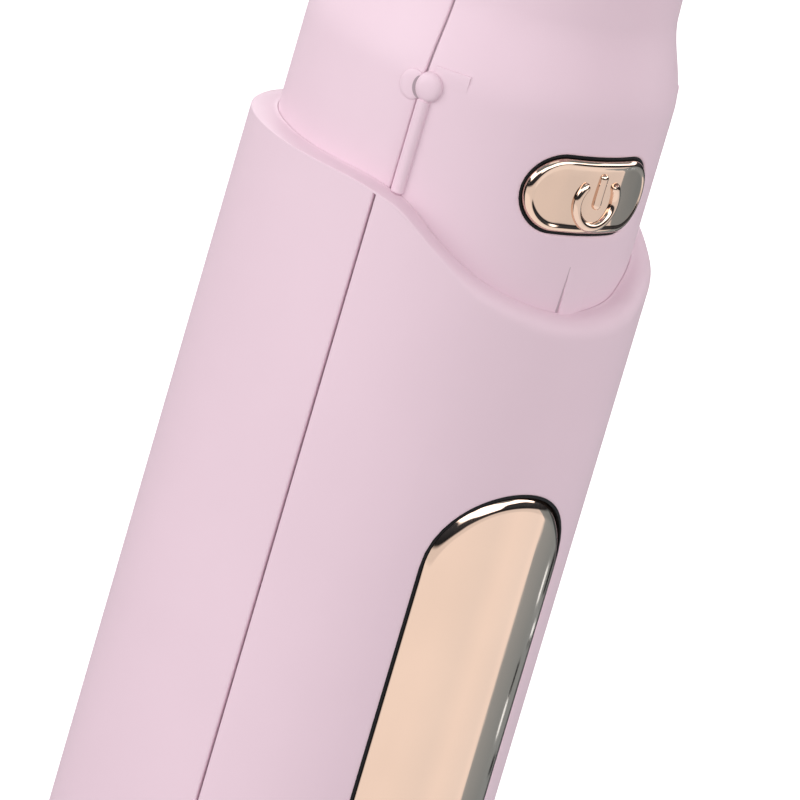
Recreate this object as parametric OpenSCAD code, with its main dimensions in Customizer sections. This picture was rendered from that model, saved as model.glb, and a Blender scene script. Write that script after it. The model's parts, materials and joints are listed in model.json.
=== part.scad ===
// Cordless hair crimper with a spring clamp.
// It stands on its flat base. +Z runs up the handle, and the power button faces -Y.
// Heights are measured from the base, in millimetres.

/* [Handle sleeve] */
// Outer diameter of the handle sleeve
handle_d = 42; // [41.5:0.25:42.5]
// Wall of the sleeve's shells
handle_wall = 1.55; // [1.5:0.05:1.6]
// Height of the sleeve's rim at its highest
handle_h = 113.8; // [113.2:0.2:114.4]
// How far the rim dips at the front
scoop_depth = 8.9; // [8.5:0.1:9.3]
// Gap between the rim's lip and the collar
lip_clearance = 0.2; // [0.15:0.05:0.3]
// Height of the end cap below the shells
cap_h = 6; // [5:0.5:7]

/* [Inlay panel] */
// Width of the inlay, seen from the front
inlay_w = 18.3; // [17.6:0.1:19]
// Height of the top of the inlay's arch
inlay_top = 87; // [85:0.2:88]
// Height of the lowest point of the inlay
inlay_bottom = 18; // [16:0.5:24]
// Height of the arch at each end of the inlay
inlay_arch_h = 8.4; // [7.8:0.1:8.8]
// How deep the inlay sits in the shell
inlay_depth = 0.8; // [0.7:0.05:0.9]
// How far the inlay stands proud of the shell
inlay_proud = 0.2; // [0.1:0.05:0.3]

/* [Collar and neck] */
// Outer diameter of the collar inside the sleeve
collar_d = 36.8; // [36.6:0.1:37]
// Wall of the collar's shells
collar_wall = 1.8; // [1.6:0.1:2]
// Height where the shoulder starts to narrow
shoulder_z = 124; // [123.5:0.25:124.5]
// Height over which the shoulder narrows
shoulder_h = 9.6; // [9:0.2:10.2]
// Radius of the neck above the shoulder
neck_r = 16.2; // [16:0.1:16.4]
// Radius of the neck under the jaws
neck_top_r = 13.6; // [13.4:0.1:13.8]
// Height of the top of the neck
neck_top_z = 184; // [182:0.5:185]
// Distance of the sleeve's parting plane in front of the axis
sleeve_parting_y = 8.7; // [8.4:0.1:9]
// Distance of the collar's parting plane in front of the axis
collar_parting_y = 8.15; // [8:0.05:8.3]
// Width of the seam between two shells
seam_w = 0.24; // [0.2:0.02:0.3]

/* [Power button] */
// Width of the button, seen from the front
button_w = 16.2; // [15.6:0.1:16.8]
// Height of the button
button_h = 7.9; // [7.6:0.1:8.2]
// Height of the button's centre
button_z = 116.8; // [116.4:0.1:117.2]
// Travel of the button
button_travel = 0.6; // [0.4:0.1:0.7]

/* [Jaws] */
// Radius of the closed jaws at their root
jaw_root_r = 15; // [14.8:0.1:15.2]
// Radius of the closed jaws at their tip
jaw_tip_r = 13.6; // [13.4:0.1:14]
// Height of the jaws' tips
jaw_top_z = 290; // [288:0.5:292]
// Wall of the jaw housings
jaw_wall = 1.8; // [1.6:0.1:2]
// Number of ridges on each plate
ridge_count = 19; // [15:1:19]
// Distance from one ridge to the next
ridge_pitch = 4; // [3.8:0.1:4]
// Height of a ridge above the plate's middle line
ridge_rise = 0.75; // [0.5:0.05:0.8]
// Gap between the closed plates
plate_gap = 0.4; // [0.35:0.05:0.5]

/* [Hinge] */
// Height of the hinge axis
hinge_z = 193; // [192.5:0.25:193.5]
// Distance of the hinge axis in front of the tool's axis
hinge_y = 10; // [9.8:0.1:10.2]
// Radius of the hinge pin
pin_r = 1.5; // [1.4:0.05:1.6]

/* [Hidden] */
$fn = 96;

// Colours
pink = [0.92, 0.78, 0.85];
rose_gold = [0.94, 0.80, 0.70];
dark_grey = [0.22, 0.22, 0.24];
steel = [0.75, 0.76, 0.78];
board_green = [0.10, 0.35, 0.22];
copper = [0.75, 0.45, 0.30];
ceramic = [0.90, 0.90, 0.88];
cell_blue = [0.35, 0.55, 0.70];
lead_red = [0.70, 0.15, 0.12];

// Derived sizes
far = 400;
eps = 0.01;
handle_r = handle_d / 2;
handle_ri = handle_r - handle_wall;
collar_r = collar_d / 2;
collar_ri = collar_r - collar_wall;
seam_half = seam_w / 2;

// Laps behind the seams
lap_t = 0.65;
lap_reach = 1.6;

// Parts inside the handle, from the base upwards
cap_spigot_h = 3;
cap_edge_r = 2.2;
cell_r = 9.2;
cell_h = 65;
cell_z = 13;
holder_floor_z = 11;
holder_top_z = cell_z + cell_h + 2;
holder_plate = 1.8;
collar_bottom_z = holder_top_z + holder_plate;
screw_r = 1.0;
screw_head_r = 1.9;

// Side details of the collar
boss_z = 123.9;
boss_r = 1.4;
boss_deg = 61.4;
boss_seat_deg = 66.6;
bar_r = 0.65;
bar_deg = 61.8;
front_rib_w = 3.2;
front_rib_x = 1.2;
front_rib_top_z = 109.6;
front_rib_proud = 0.55;
ledge_z = 125.6;
ledge_start_deg = 50;
ledge_span_deg = 11;

// Jaws and plates
jaw_split = 0.25;
jaw_tip_round = 6;
jaw_start_z = 200;
plate_half_w = 10.4;
plate_z0 = 206;
plate_z1 = plate_z0 + ridge_count * ridge_pitch;
plate_back_y = 3.4;
carrier_back_y = 6.6;
heater_half_w = 8;
heater_t = 2.2;
ear_x0 = 10.2;
ear_x1 = 13.4;
ear_r = 5;
barrel_half = 9.8;
barrel_r = 4.5;
slot_half = 4.4;
core_r = 2.9;

// ---------------------------------------------------------------- helpers

// Everything in front of the plane y = -d
module in_front_of(d) {
    translate([-far / 2, -far - d, -10]) cube([far, far, far]);
}

// Everything behind the plane y = -d
module behind(d) {
    translate([-far / 2, -d, -10]) cube([far, far, far]);
}

// Band just in front of and behind the parting plane, where a back shell's lap closes the seam
module lap_zone(d) {
    translate([-far / 2, -d - lap_reach, -10]) cube([far, 2 * lap_reach, far]);
}

// A wall between two radii
module ring(r_out, r_in, h) {
    difference() {
        cylinder(r = r_out, h = h);
        translate([0, 0, -1]) cylinder(r = r_in, h = h + 2);
    }
}

// A flat outline in x and z, pushed forward from the axis
module forward(depth) {
    rotate([90, 0, 0]) linear_extrude(height = depth) children();
}

// A profile in y and z, spread evenly across x
module across(width) {
    rotate([90, 0, 90]) translate([0, 0, -width / 2]) linear_extrude(height = width) children();
}

// A pin across x
module cross_cylinder(r, half) {
    rotate([0, 90, 0]) translate([0, 0, -half]) cylinder(r = r, h = 2 * half);
}

// A stadium outline
module pill(w, h) {
    r = h / 2;
    union() {
        square([w - h, h], center = true);
        for (side = [-1, 1]) translate([side * (w / 2 - r), 0]) circle(r = r, $fn = 48);
    }
}

// ---------------------------------------------------------------- handle sleeve

// The rim at angles round it, from the back over the left side, the front and the right side:
// its share of the dip, and the fall from the lip's crest to its outer edge
rim_curve = [[-180, 0.1, 0.9], [-150, 0.045, 0.9], [-120, 0, 0.9], [-95, 0, 0.9], [-75, 0.006, 0.9],
             [-65, 0.056, 0.9], [-57, 0.151, 1.0], [-45, 0.45, 1.1], [-33, 0.703, 1.6], [-20, 0.871, 2.0],
             [-7, 0.977, 2.1], [4, 1, 2.0], [15, 0.955, 2.1], [25, 0.882, 2.2], [33, 0.738, 2.3],
             [44, 0.595, 2.4], [60, 0.485, 2.1], [75, 0.32, 1.7], [100, 0.16, 1.3], [130, 0.11, 1.0],
             [155, 0.1, 0.9], [180, 0.1, 0.9]];
rim_last = len(rim_curve) - 1;
function rim_slope(i, k) =
    i == 0 || i == rim_last ? 0
    : (rim_curve[i + 1][k] - rim_curve[i - 1][k]) / (rim_curve[i + 1][0] - rim_curve[i - 1][0]);
function rim_row(a, i = 0) = i == rim_last - 1 || a < rim_curve[i + 1][0] ? i : rim_row(a, i + 1);

// Smooth curve through one column of the rows
function rim_value(a, k) =
    let (i = rim_row(a), w = rim_curve[i + 1][0] - rim_curve[i][0], t = (a - rim_curve[i][0]) / w)
        rim_curve[i][k] * (1 + 2 * t) * (1 - t) * (1 - t)
        + rim_curve[i + 1][k] * t * t * (3 - 2 * t)
        + w * t * (1 - t) * (rim_slope(i, k) * (1 - t) - rim_slope(i + 1, k) * t);
function crest_z(a) = handle_h - scoop_depth * rim_value(a, 1);
function outer_edge_z(a) = crest_z(a) - rim_value(a, 2);

// The lip's foot, where it sits on the shells, runs straight between the edges of equal sectors
sector = 7.5;
lip_skirt = 0.5;
foot_gap = 0.03;
function foot_z(a) =
    let (i = floor(a / sector), t = a / sector - i)
        (1 - t) * outer_edge_z(i * sector) + t * outer_edge_z((i + 1) * sector) - lip_skirt;

// Space above the foot: a slanted block for each sector.
// A block's slope is set at the middle of the wall, and the block runs past it on both sides
module above_foot() {
    reach = handle_r + 1;
    depth = handle_wall + 2;
    top = handle_h + 5;
    half_w = reach * tan(sector / 2);
    stretch = reach / (handle_r - handle_wall / 2);
    for (a = [-180 + sector / 2:sector:180]) {
        middle = (foot_z(a - sector / 2) + foot_z(a + sector / 2)) / 2;
        rise = (foot_z(a + sector / 2) - middle) * stretch;
        rotate([0, 0, a]) translate([0, depth - reach, 0]) forward(depth)
            polygon([[-half_w, middle - rise], [half_w, middle + rise], [half_w, top], [-half_w, top]]);
    }
}

module sleeve_blank() {
    difference() {
        translate([0, 0, cap_h]) ring(handle_r, handle_ri, handle_h - cap_h);
        above_foot();
    }
}

// The inlay's outline: straight sides and an arch at each end, drawn in by an inset
inlay_arch_power = 2.5;
function arch_point(a, half_w, h) =
    [half_w * pow(abs(cos(a)), 2 / inlay_arch_power) * sign(cos(a)),
     h * pow(abs(sin(a)), 2 / inlay_arch_power)];

module inlay_outline(inset) {
    half_w = inlay_w / 2 - inset;
    arch = inlay_arch_h - inset;
    top = inlay_top - inlay_arch_h;
    low = inlay_bottom + inlay_arch_h;
    upper = [for (a = [0:10:180]) let (p = arch_point(a, half_w, arch)) [p[0], top + p[1]]];
    lower = [for (a = [180:-10:0]) let (p = arch_point(a, half_w, arch)) [p[0], low - p[1]]];
    polygon(concat(upper, lower));
}

module inlay_body(inset, r_out, r_in) {
    intersection() {
        ring(r_out, r_in, inlay_top + 5);
        forward(handle_r + 5) inlay_outline(inset);
    }
}

module handle_front_shell() {
    color(pink) difference() {
        intersection() {
            sleeve_blank();
            in_front_of(sleeve_parting_y + seam_half);
        }
        inlay_body(0, handle_r + 2, handle_r - inlay_depth);
        sleeve_lap();
    }
}

// Lap behind the sleeve's seam, up to the collar
module sleeve_lap() {
    z0 = holder_floor_z + holder_plate + 0.2;
    intersection() {
        translate([0, 0, z0]) ring(handle_ri + eps, handle_ri - lap_t, holder_top_z - z0 - 0.2);
        lap_zone(sleeve_parting_y);
    }
}

module handle_back_shell() {
    color(pink) difference() {
        union() {
            intersection() {
                sleeve_blank();
                behind(sleeve_parting_y - seam_half);
            }
            sleeve_lap();
        }
        translate([0, 0, usb_z]) rotate([180, 0, 0]) forward(handle_r + 5)
            pill(usb_w + 2 * usb_gap, usb_h + 2 * usb_gap);
    }
}

// The lip's section at an angle: from its foot on the shells, in to the collar, and over the crest to its edge
lip_in = collar_r + lip_clearance;
lip_crest_r = lip_in + 0.35;
lip_edge_h = 0.35;
function lip_section(a) =
    let (foot = foot_z(a) + foot_gap, edge = outer_edge_z(a), crest = crest_z(a))
        concat([[handle_ri, foot], [lip_in, foot + 0.3], [lip_in, crest - lip_edge_h],
                [lip_in + 0.1, crest - 0.1]],
               [for (t = [0:15:90])
                   [lip_crest_r + (handle_r - lip_crest_r) * sin(t), edge + (crest - edge) * cos(t)]],
               [[handle_r, foot]]);

// The lip is swept round the rim. Each ring of its points has the section's own order
module handle_rim() {
    steps = 96;
    rings = [for (i = [0:steps - 1]) let (turn = i * 360 / steps) turn > 180 ? turn - 360 : turn];
    n = len(lip_section(0));
    points = [for (a = rings) for (p = lip_section(a)) [p[0] * sin(a), -p[0] * cos(a), p[1]]];
    faces = [
        for (i = [0:steps - 1])
            for (j = [0:n - 1])
                let (k = (i + 1) % steps, m = (j + 1) % n)
                    for (f = [[i * n + j, i * n + m, k * n + m], [i * n + j, k * n + m, k * n + j]]) f
    ];
    color(pink) polyhedron(points = points, faces = faces, convexity = 6);
}

inlay_bevel = 0.5;
inlay_gap = 0.12;
module inlay_panel() {
    color(rose_gold) union() {
        inlay_body(inlay_gap, handle_r, handle_r - inlay_depth);
        inlay_body(inlay_gap + inlay_bevel, handle_r + inlay_proud, handle_r - inlay_depth);
    }
}

// ---------------------------------------------------------------- base and battery

usb_w = 9.2;
usb_h = 3.4;
usb_gap = 0.15;
usb_depth = 8;
usb_recess = 0.3;
charge_board_t = 1.2;
usb_z = holder_floor_z + holder_plate + charge_board_t + usb_h / 2;
cap_screw_x = 11.5;

module cap_profile() {
    arc = [for (a = [-90:15:0]) [handle_r - cap_edge_r + cap_edge_r * cos(a), cap_edge_r + cap_edge_r * sin(a)]];
    spigot = handle_ri - 0.05;
    polygon(concat([[0, 0]], arc,
                   [[handle_r, cap_h], [spigot, cap_h], [spigot, cap_h + cap_spigot_h], [0, cap_h + cap_spigot_h]]));
}

module end_cap() {
    color(pink) difference() {
        rotate_extrude() cap_profile();
        for (side = [-1, 1]) translate([side * cap_screw_x, 0, 0]) {
            translate([0, 0, -1]) cylinder(r = screw_r, h = far / 4);
            translate([0, 0, -1]) cylinder(r = screw_head_r + 0.1, h = 1 + cap_screw_z + screw_head_h);
        }
    }
}

// Cross-head screws, sunk in the base
cap_screw_z = 0.7;
screw_head_h = 1.3;
cap_screw_top_z = 12;
drive_l = 2.4;
drive_w = 0.5;
drive_depth = 0.7;
module cap_screws() {
    color(steel) for (side = [-1, 1]) translate([side * cap_screw_x, 0, cap_screw_z]) difference() {
        union() {
            cylinder(r = screw_head_r, h = screw_head_h);
            cylinder(r = screw_r, h = cap_screw_top_z - cap_screw_z);
        }
        for (turn = [0, 90]) rotate([0, 0, turn]) translate([-drive_l / 2, -drive_w / 2, -1])
            cube([drive_l, drive_w, 1 + drive_depth]);
    }
}

// Metal shell of the charging socket, with the tongue inside. It opens at the back of the handle
usb_metal_t = 0.35;
tongue_w = 6.6;
tongue_t = 0.7;
module usb_port() {
    color(steel) translate([0, handle_r - usb_recess, usb_z]) union() {
        difference() {
            forward(usb_depth) pill(usb_w, usb_h);
            translate([0, 1, 0]) forward(usb_depth) pill(usb_w - 2 * usb_metal_t, usb_h - 2 * usb_metal_t);
        }
        translate([-tongue_w / 2, -usb_depth + 0.5, -tongue_t / 2])
            cube([tongue_w, usb_depth - 1.3, tongue_t]);
    }
}

// The board lies on the holder's floor, under the socket
charge_board_w = 15;
charge_board_l = 5.7;
charge_board_y = 11.8;
module charge_board() {
    color(board_green) translate([-charge_board_w / 2, charge_board_y, holder_floor_z + holder_plate])
        cube([charge_board_w, charge_board_l, charge_board_t]);
}

cell_cap_h = 1.2;
cell_cap_r = 3;
module battery_cell() {
    color(cell_blue) translate([0, 0, cell_z]) union() {
        cylinder(r = cell_r, h = cell_h - cell_cap_h);
        cylinder(r = cell_cap_r, h = cell_h);
    }
}

// Cradle: a floor and a top plate joined by a half tube, with two bosses for the cap's screws
holder_boss_r = 2.6;
cell_play = 0.2;
cradle_t = 2;
wire_way_w = 10;
wire_way_y = 14;
module battery_holder() {
    plate_r = handle_ri - 0.15;
    color(dark_grey) difference() {
        union() {
            translate([0, 0, holder_floor_z]) cylinder(r = plate_r, h = holder_plate);
            translate([0, 0, holder_top_z]) cylinder(r = collar_r - 0.1, h = holder_plate);
            intersection() {
                translate([0, 0, holder_floor_z])
                    ring(cell_r + cell_play + cradle_t, cell_r + cell_play, holder_top_z - holder_floor_z + 1);
                behind(0);
            }
            for (side = [-1, 1]) translate([side * cap_screw_x, 0, 0]) {
                translate([0, 0, cap_h + cap_spigot_h])
                    cylinder(r = holder_boss_r, h = holder_floor_z + 1 - cap_h - cap_spigot_h);
            }
        }
        for (side = [-1, 1]) translate([side * cap_screw_x, 0, 0]) cylinder(r = screw_r, h = cap_screw_top_z + 2);
        translate([-wire_way_w / 2, -wire_way_y - 3, 0]) cube([wire_way_w, 3, far / 2]);
    }
}

tab_w = 8;
tab_t = 0.3;
module battery_tabs() {
    tab_y = -tab_w / 2;
    floor_z = holder_floor_z + holder_plate;
    color(steel) union() {
        translate([-tab_w / 2, tab_y, floor_z]) cube([tab_w, tab_w, cell_z - floor_z]);
        translate([-tab_w / 2, tab_y, cell_z + cell_h]) cube([tab_w, tab_w, tab_t]);
        translate([-1, tab_y, cell_z + cell_h]) cube([2, 0.4, holder_top_z - cell_z - cell_h]);
    }
}

// ---------------------------------------------------------------- collar and neck

// Half-cosine fall of the shoulder, then an even taper up the neck
function collar_outer(z) =
    z < shoulder_z ? collar_r
    : z < shoulder_z + shoulder_h
        ? neck_r + (collar_r - neck_r) * (1 + cos(180 * (z - shoulder_z) / shoulder_h)) / 2
        : neck_r + (neck_top_r - neck_r) * (z - shoulder_z - shoulder_h) / (neck_top_z - shoulder_z - shoulder_h);

collar_stations = concat([collar_bottom_z],
                         [for (i = [0:10]) shoulder_z + i * shoulder_h / 10],
                         [neck_top_z]);

module collar_blank() {
    outer = [for (z = collar_stations) [collar_outer(z), z]];
    inner = [for (i = [len(collar_stations) - 1:-1:0])
        [collar_outer(collar_stations[i]) - collar_wall, collar_stations[i]]];
    rotate_extrude() polygon(concat(outer, inner));
}

// Lap behind the collar's seam
module collar_lap() {
    outer = [for (z = collar_stations) [collar_outer(z) - collar_wall + eps, z]];
    inner = [for (i = [len(collar_stations) - 1:-1:0])
        [collar_outer(collar_stations[i]) - collar_wall - lap_t, collar_stations[i]]];
    intersection() {
        rotate_extrude() polygon(concat(outer, inner));
        lap_zone(collar_parting_y);
        translate([-far / 2, -far / 2, collar_bottom_z + eps]) cube([far, far, neck_top_z - 12.3 - collar_bottom_z]);
    }
}

button_gap = 0.25;
module button_prism(grow, depth) {
    translate([0, 0, button_z]) forward(depth) pill(button_w + 2 * grow, button_h + 2 * grow);
}

module on_collar(deg, r, z) {
    translate([r * sin(deg), -r * cos(deg), z]) children();
}

// Round boss that stands on the seam, and the low seat beside it on the back shell
boss_proud = 0.45;
boss_seat_proud = 0.25;
boss_root = 1;
module side_disc(deg, z, r, proud) {
    for (side = [-1, 1]) rotate([0, 0, side * deg]) translate([0, -collar_r + boss_root, z])
        rotate([90, 0, 0]) cylinder(r = r, h = boss_root + proud);
}

module boss(grow) {
    side_disc(boss_deg, boss_z, boss_r + grow, boss_proud);
}

module boss_seats() {
    side_disc(boss_seat_deg, boss_z - 0.3, boss_r, boss_seat_proud);
}

// The bars and the rib end just above the lip
lip_stop = 0.3;
module side_bars() {
    for (side = [-1, 1]) let (z = crest_z(side * bar_deg) + lip_stop)
        on_collar(side * bar_deg, collar_r, z) cylinder(r = bar_r, h = boss_z - z, $fn = 32);
}

module front_rib() {
    z = crest_z(0) + lip_stop;
    intersection() {
        translate([0, 0, z]) ring(collar_r + front_rib_proud, collar_r - 0.5, front_rib_top_z - z);
        translate([front_rib_x - front_rib_w / 2, -handle_r, 0]) cube([front_rib_w, handle_r, far]);
    }
}

// Thin step beside the boss
ledge_t = 0.5;
ledge_proud = 0.1;
module ledges() {
    for (side = [0, 1]) mirror([side, 0, 0]) rotate([0, 0, ledge_start_deg - 90]) translate([0, 0, ledge_z])
        rotate_extrude(angle = ledge_span_deg) translate([collar_r - 1, 0]) square([1 + ledge_proud, ledge_t]);
}

module collar_front_shell() {
    color(pink) difference() {
        union() {
            intersection() {
                union() {
                    collar_blank();
                    ledges();
                }
                in_front_of(collar_parting_y + seam_half);
            }
            side_bars();
            front_rib();
            boss(0);
        }
        button_prism(button_gap, handle_r + 5);
        translate([0, 0, collar_bottom_z]) cylinder(r = collar_ri, h = shoulder_z - collar_bottom_z);
        cross_hole();
        collar_lap();
    }
}

boss_gap = 0.2;
module collar_back_shell() {
    color(pink) difference() {
        union() {
            intersection() {
                union() {
                    collar_blank();
                    boss_seats();
                }
                behind(collar_parting_y - seam_half);
            }
            collar_lap();
        }
        boss(boss_gap);
        cross_hole();
        arm_screws();
    }
}

// The pin lies on the parting plane, half in each shell
cross_pin_r = 1.0;
cross_pin_half = 15.4;
module cross_hole() {
    translate([0, -collar_parting_y, boss_z]) cross_cylinder(cross_pin_r, cross_pin_half);
}

module cross_pin() {
    color(steel) cross_hole();
}

// ---------------------------------------------------------------- switch and button

board_y = -12.6;
board_t = 1.4;
board_half_w = 7.8;
board_z0 = 97;
board_z1 = 128.5;
switch_t = 2.0;
stem_r = 1.5;

module control_board() {
    color(board_green) translate([-board_half_w, board_y, board_z0])
        cube([2 * board_half_w, board_t, board_z1 - board_z0]);
}

switch_half = 3;
switch_dome_r = 1.7;
switch_dome_h = 0.5;
module tact_switch() {
    color(dark_grey) translate([0, board_y, button_z]) union() {
        translate([-switch_half, -switch_t, -switch_half]) cube([2 * switch_half, switch_t, 2 * switch_half]);
        rotate([90, 0, 0]) cylinder(r = switch_dome_r, h = switch_t + switch_dome_h);
    }
}

// Bracket behind the board, carried by the cross pin and standing on the holder's top plate
frame_t = 1.6;
frame_block = [12, 7, 6];
frame_foot = [2, 18, 4];
module switch_frame() {
    back = board_y + board_t;
    base_z = collar_bottom_z;
    color(dark_grey) difference() {
        union() {
            translate([-board_half_w, back, base_z]) cube([2 * board_half_w, frame_t, board_z1 - base_z]);
            translate([-frame_block[0] / 2, back, boss_z - frame_block[2] / 2]) cube(frame_block);
            for (side = [-1, 1]) translate([side * 8 - frame_foot[0] / 2, back, base_z]) cube(frame_foot);
        }
        translate([0, -collar_parting_y, boss_z]) cross_cylinder(cross_pin_r, 8);
    }
}

button_r = collar_r + 0.45;
button_skin = 2.1;
button_step = 0.25;
button_edge_w = 0.6;
stem_play = 0.15;

// The button's face between two radii, its outline drawn in by an inset
module button_face(inset, r_out) {
    intersection() {
        translate([0, 0, button_z - button_h]) ring(r_out, button_r - button_skin, 2 * button_h);
        button_prism(-inset, handle_r + 5);
    }
}

module power_button() {
    tip_y = board_y - switch_t - switch_dome_h - button_travel - stem_play;
    color(rose_gold) union() {
        button_face(0, button_r - button_step);
        button_face(button_edge_w, button_r);
        translate([0, tip_y, button_z]) rotate([90, 0, 0])
            cylinder(r = stem_r, h = button_r - button_skin / 2 + tip_y);
    }
}

// ---------------------------------------------------------------- jaws

// Outline of the closed jaws: an even taper and a rounded tip, drawn in by an inset
module jaw_outline(z0, inset) {
    tip_z = jaw_top_z - inset;
    round_r = jaw_tip_round - inset / 2;
    tip_x = jaw_tip_r - inset;
    arc = [for (a = [0:15:90]) [tip_x - round_r + round_r * cos(a), tip_z - round_r + round_r * sin(a)]];
    polygon(concat([[0, z0], [jaw_root_r - inset, z0]], arc, [[0, tip_z]]));
}

// Half of the closed jaws, behind the split plane
module jaw_half(z0, inset) {
    intersection() {
        rotate_extrude() jaw_outline(z0, inset);
        behind(-jaw_split);
    }
}

cavity_floor_z = jaw_start_z + 3;
module jaw_shell() {
    difference() {
        jaw_half(jaw_start_z, 0);
        jaw_half(cavity_floor_z, jaw_wall);
    }
}

function wave_y(i) = i % 2 == 0 ? ridge_rise : -ridge_rise;
ridge_flat = 0.25;
wave = [for (i = [0:2 * ridge_count])
    for (side = [-1, 1]) [wave_y(i), plate_z0 + i * ridge_pitch / 2 + side * ridge_flat]];
function clipped(p) = [p[0], min(max(p[1], plate_z0), plate_z1)];

// Ridged plate between its back and the wave, moved off the split plane
module plate(back_y, gap) {
    face = [for (p = wave) let (q = clipped(p)) [q[0] + gap, q[1]]];
    across(2 * plate_half_w) polygon(concat([[back_y, plate_z0]], face, [[back_y, plate_z1]]));
}

// Carrier round the plate and the heater, filling the open side of a jaw housing
module carrier() {
    difference() {
        intersection() {
            jaw_half(cavity_floor_z, jaw_wall);
            translate([-far / 2, 0, 0]) cube([far, carrier_back_y, far]);
        }
        translate([-plate_half_w, -1, plate_z0]) cube([2 * plate_half_w, plate_back_y + 1, plate_z1 - plate_z0]);
        heater_block(0.1);
    }
}

heater_inset_z = 8;
module heater_block(grow) {
    translate([-heater_half_w - grow, plate_back_y, plate_z0 + heater_inset_z - grow])
        cube([2 * (heater_half_w + grow), heater_t + grow, plate_z1 - plate_z0 - 2 * heater_inset_z + 2 * grow]);
}

// Fixed jaw: plug in the neck, spine, hinge ears and housing
spine_flare_z = neck_top_z + 6;
module fixed_root() {
    plug_r = neck_top_r - collar_wall - 0.1;
    union() {
        translate([0, 0, neck_top_z - 12]) cylinder(r = plug_r, h = 13);
        translate([0, 0, neck_top_z]) cylinder(r = neck_top_r, h = 2);
        intersection() {
            rotate_extrude() polygon([[0, neck_top_z + 1], [neck_top_r, neck_top_z + 2],
                                      [jaw_root_r, spine_flare_z], [jaw_root_r, jaw_start_z + eps],
                                      [0, jaw_start_z + eps]]);
            behind(-jaw_split);
        }
        for (side = [-1, 1]) translate([side * (ear_x0 + ear_x1) / 2, 0, 0]) across(ear_x1 - ear_x0) ear_outline();
    }
}

module ear_outline() {
    union() {
        translate([-hinge_y, hinge_z]) circle(r = ear_r);
        translate([-hinge_y, hinge_z - ear_r]) square([hinge_y + 4, 2 * ear_r]);
    }
}

module fixed_jaw() {
    color(pink) difference() {
        union() {
            fixed_root();
            jaw_shell();
        }
        translate([0, -hinge_y, hinge_z]) cross_cylinder(pin_r, 20);
        arm_screws();
        lead_channel();
        translate([0, -hinge_y, hinge_z]) spring_leg_hole();
    }
}

// Way for the leads through the plug and the spine
module lead_channel() {
    translate([0, lead_y, neck_top_z - 20]) cylinder(r = 2.4, h = cavity_floor_z - neck_top_z + 24);
}

module fixed_carrier() {
    color(dark_grey) difference() {
        carrier();
        translate([-2.5, plate_back_y, 0]) cube([5, 5, lead_top_z + 1]);
    }
}

module fixed_heater() {
    color(ceramic) heater_block(0);
}

module fixed_plate() {
    color(copper) plate(plate_back_y, plate_gap / 2);
}

// Clamp jaw: housing, link and hinge barrel in one
link_t = 8.5;
module clamp_jaw() {
    color(pink) difference() {
        union() {
            mirror([0, 1, 0]) jaw_shell();
            translate([-barrel_half, lever_root_y, hinge_z])
                cube([2 * barrel_half, link_t, jaw_start_z - hinge_z + eps]);
            translate([0, -hinge_y, hinge_z]) cross_cylinder(barrel_r, barrel_half);
        }
        translate([0, -hinge_y, hinge_z]) cross_cylinder(pin_r + 0.05, 20);
        spring_slot();
    }
}

// Slot round the barrel's middle for the spring
module spring_slot() {
    translate([0, -hinge_y, hinge_z]) difference() {
        cross_cylinder(barrel_r + 1.1, slot_half);
        cross_cylinder(core_r, slot_half + 1);
    }
}

module clamp_carrier() {
    color(dark_grey) mirror([0, 1, 0]) carrier();
}

module clamp_heater() {
    color(ceramic) mirror([0, 1, 0]) heater_block(0);
}

module clamp_plate() {
    color(copper) plate(-plate_back_y, -plate_gap / 2);
}

// Thumb lever: a bent blade that runs down and forward from the hinge to a rounded thumb pad
lever_root_y = -hinge_y - barrel_r;
lever_tip_z = 150;
lever_lean = 27;
lever_t = 2.6;
lever_knee_z = hinge_z - 2;
lever_root_top_z = jaw_start_z - 0.4;

module lever_side() {
    knee = [lever_root_y - 1, lever_knee_z];
    tip = [knee[0] - (lever_knee_z - lever_tip_z) * tan(lever_lean), lever_tip_z];
    out = [-lever_t * cos(lever_lean), -lever_t * sin(lever_lean)];
    curve = [for (t = [0:0.1:1]) [knee[0] + (tip[0] - knee[0]) * t - 0.9 * sin(180 * t),
                                  knee[1] + (tip[1] - knee[1]) * t]];
    outer = [for (i = [len(curve) - 1:-1:0]) curve[i] + out];
    polygon(concat([[lever_root_y, lever_root_top_z], [lever_root_y, lever_knee_z + 1.5]], curve, outer,
                   [[lever_root_y - 3.2, lever_knee_z + 4], [lever_root_y - 1.8, lever_root_top_z - 0.4]]));
}

module lever_front() {
    pad_r = 10;
    root_half = 9.2;
    waist = [for (t = [0:0.1:1]) [root_half - 1.6 * sin(180 * t) + (pad_r - root_half) * t,
                                  lever_root_top_z + 1 + (lever_tip_z + pad_r - lever_root_top_z - 1) * t]];
    pad = [for (a = [-15:-15:-165]) [pad_r * cos(a), lever_tip_z + pad_r + pad_r * sin(a)]];
    other = [for (i = [len(waist) - 1:-1:0]) [-waist[i][0], waist[i][1]]];
    polygon(concat(waist, pad, other));
}

module thumb_lever() {
    color(pink) intersection() {
        across(30) lever_side();
        forward(60) lever_front();
    }
}

module hinge_pin() {
    color(steel) translate([0, -hinge_y, hinge_z]) cross_cylinder(pin_r, ear_x1);
}

// ---------------------------------------------------------------- torsion spring

wire_r = 0.4;
spring_turns = 5;
spring_pitch = 1.35;
spring_mean_r = 3.8;
wire_sides = 6;
rings_per_turn = 8;
spring_half = spring_turns * spring_pitch / 2;
leg_len = hinge_z - neck_top_z - 1;
lift_len = 3.6;

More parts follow.
